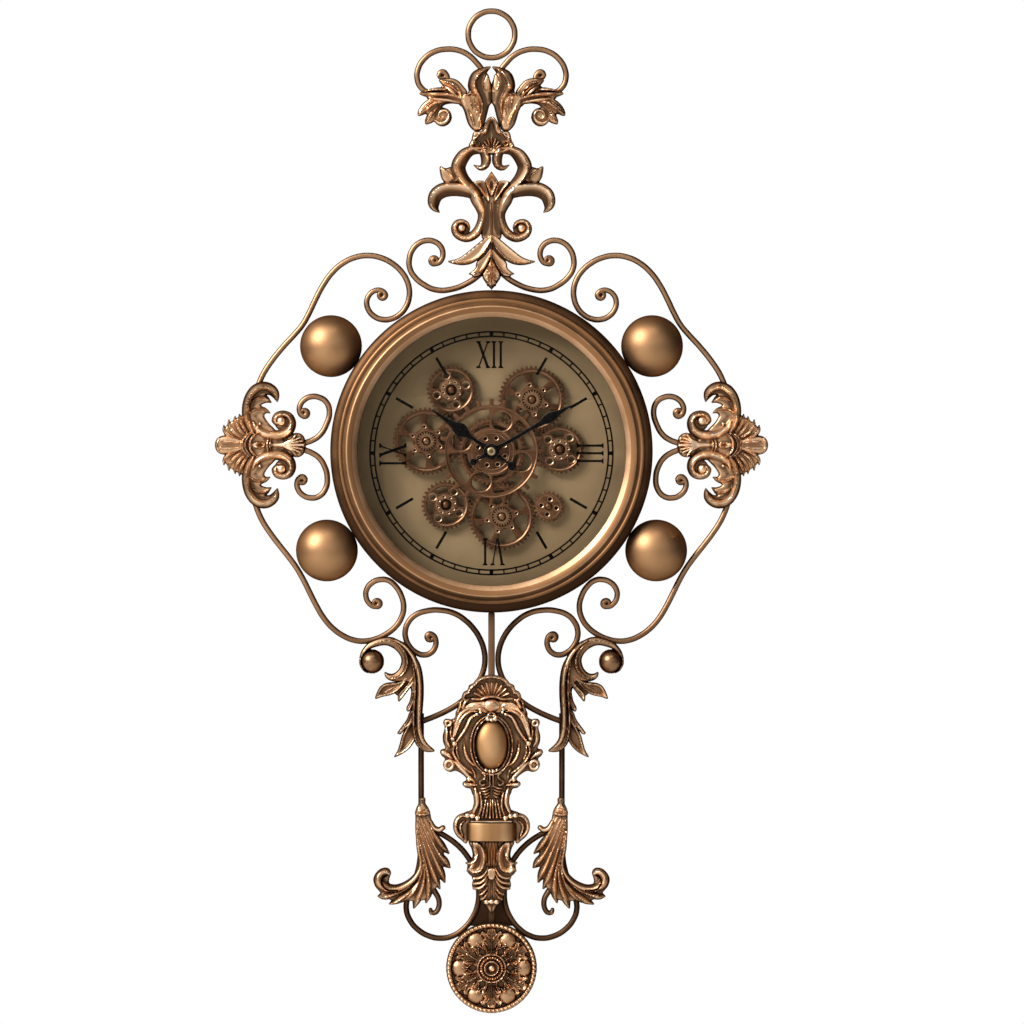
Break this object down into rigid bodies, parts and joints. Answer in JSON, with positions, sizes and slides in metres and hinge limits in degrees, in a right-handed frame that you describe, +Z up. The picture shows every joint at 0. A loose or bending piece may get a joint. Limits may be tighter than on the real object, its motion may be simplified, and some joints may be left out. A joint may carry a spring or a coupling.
{
  "type": "gear wall clock",
  "caption": "Round wall clock with an open train of turning wheels behind its glass, in a frame of bent scroll rods, balls and acanthus castings with an urn and rosette below.",
  "frame": {"origin": "point where the dial axis meets the wall, on the rear face of the rear cover", "axes": "+Z up, the dial looks along -Y, +Y into the wall, +X to the viewer's right"},
  "size_m": [0.5534, 0.063, 1.0055],
  "materials": {
    "bronze": "antique copper-bronze lacquer, satin, darker in the recesses",
    "dark_bronze": "dark aged bronze, satin",
    "tan_dial": "matt tan paint",
    "clear_glass": "clear float glass with printed hour marks",
    "black_cover": "black paint, matt",
    "steel": "zinc plated",
    "black_plastic": "moulded black, fine grain",
    "cell_jacket": "printed jacket, gloss",
    "brass": "bright brass",
    "black_hand": "black paint, semi-gloss"
  },
  "bodies": {
    "case": {"case_drum": "bronze", "bezel": "bronze", "lens_glass": "clear_glass", "dial_sleeve": "tan_dial", "dial_plate": "tan_dial", "rear_cover": "black_cover", "hanger_plate": "steel", "movement_housing": "black_plastic", "movement_battery": "cell_jacket", "movement_nut": "brass", "gear_motor": "black_plastic", "gear_battery_upper": "cell_jacket", "gear_battery_lower": "cell_jacket", "top_ring": "bronze", "spine_bar": "bronze", "top_loop_left": "bronze", "top_loop_right": "bronze", "crest_scroll_left": "bronze", "crest_scroll_right": "bronze", "shoulder_rod_left": "bronze", "shoulder_rod_right": "bronze", "side_scroll_left": "bronze", "side_scroll_right": "bronze", "hip_rod_left": "bronze", "hip_rod_right": "bronze", "inner_scroll_left": "bronze", "inner_scroll_right": "bronze", "foot_rod_left": "bronze", "foot_rod_right": "bronze", "ball_upper_left": "bronze", "ball_upper_right": "bronze", "ball_lower_left": "bronze", "ball_lower_right": "bronze", "crest_upper": "bronze", "crest_lower": "bronze", "urn": "bronze", "rosette": "bronze", "side_ornament_left": "bronze", "side_ornament_right": "bronze", "acanthus_left": "bronze", "acanthus_right": "bronze", "tassel_leaf_left": "bronze", "tassel_leaf_right": "bronze"},
    "centre_wheels": {"centre_wheel": "dark_bronze", "centre_front_wheel": "dark_bronze"},
    "large_upper": {"large_wheel_upper": "dark_bronze"},
    "large_left": {"large_wheel_left": "dark_bronze"},
    "large_lower": {"large_wheel_lower": "dark_bronze"},
    "small_upper": {"small_wheel_upper": "dark_bronze"},
    "small_right": {"small_wheel_right": "dark_bronze"},
    "small_lower": {"small_wheel_lower": "dark_bronze"},
    "pinion": {"pinion_wheel": "dark_bronze"},
    "minute": {"minute_arbor": "brass", "minute_hand": "black_hand", "hand_nut": "brass"},
    "hour": {"hour_tube": "brass", "hour_hand": "black_hand"},
    "set_knob": {"time_set_knob": "black_plastic"},
    "switch": {"gear_switch": "black_plastic"}
  },
  "joints": [
    {"name": "centre_spin", "type": "hinge", "parent": "case", "child": "centre_wheels", "pos_m": [0, -0.0317, 0], "axis": [0, 1, 0], "continuous": true},
    {"name": "large_upper_spin", "type": "hinge", "parent": "case", "child": "large_upper", "pos_m": [0.04063, -0.0317, 0.05201], "axis": [0, 1, 0], "continuous": true},
    {"name": "large_left_spin", "type": "hinge", "parent": "case", "child": "large_left", "pos_m": [-0.06519, -0.0317, 0.01032], "axis": [0, 1, 0], "continuous": true},
    {"name": "large_lower_spin", "type": "hinge", "parent": "case", "child": "large_lower", "pos_m": [0.01032, -0.0317, -0.06519], "axis": [0, 1, 0], "continuous": true},
    {"name": "small_upper_spin", "type": "hinge", "parent": "case", "child": "small_upper", "pos_m": [-0.0402, -0.0317, 0.06156], "axis": [0, 1, 0], "continuous": true},
    {"name": "small_right_spin", "type": "hinge", "parent": "case", "child": "small_right", "pos_m": [0.06827, -0.0317, 0.00216], "axis": [0, 1, 0], "continuous": true},
    {"name": "small_lower_spin", "type": "hinge", "parent": "case", "child": "small_lower", "pos_m": [-0.04543, -0.0317, -0.05334], "axis": [0, 1, 0], "continuous": true},
    {"name": "pinion_spin", "type": "hinge", "parent": "case", "child": "pinion", "pos_m": [0.05728, -0.0317, -0.05521], "axis": [0, 1, 0], "continuous": true},
    {"name": "minute_turn", "type": "hinge", "parent": "case", "child": "minute", "pos_m": [0, -0.0428, 0], "axis": [0, 1, 0], "continuous": true},
    {"name": "hour_turn", "type": "hinge", "parent": "case", "child": "hour", "pos_m": [0, -0.0404, 0], "axis": [0, 1, 0], "continuous": true},
    {"name": "knob_turn", "type": "hinge", "parent": "case", "child": "set_knob", "pos_m": [-0.016, -0.005, 0.014], "axis": [0, 1, 0], "continuous": true},
    {"name": "switch_slide", "type": "slide", "parent": "case", "child": "switch", "axis": [1, 0, 0], "range_m": [0, 0.004]}
  ],
  "couplings": [
    {"joint": "large_upper_spin", "follows": "centre_spin", "ratio": -1},
    {"joint": "large_left_spin", "follows": "centre_spin", "ratio": -1},
    {"joint": "large_lower_spin", "follows": "centre_spin", "ratio": -1},
    {"joint": "small_upper_spin", "follows": "centre_spin", "ratio": 1.375},
    {"joint": "small_right_spin", "follows": "centre_spin", "ratio": 1.375},
    {"joint": "small_lower_spin", "follows": "centre_spin", "ratio": 1.375},
    {"joint": "pinion_spin", "follows": "centre_spin", "ratio": 2.2},
    {"joint": "hour_turn", "follows": "minute_turn", "ratio": 0.083333},
    {"joint": "knob_turn", "follows": "minute_turn", "ratio": -1}
  ]
}
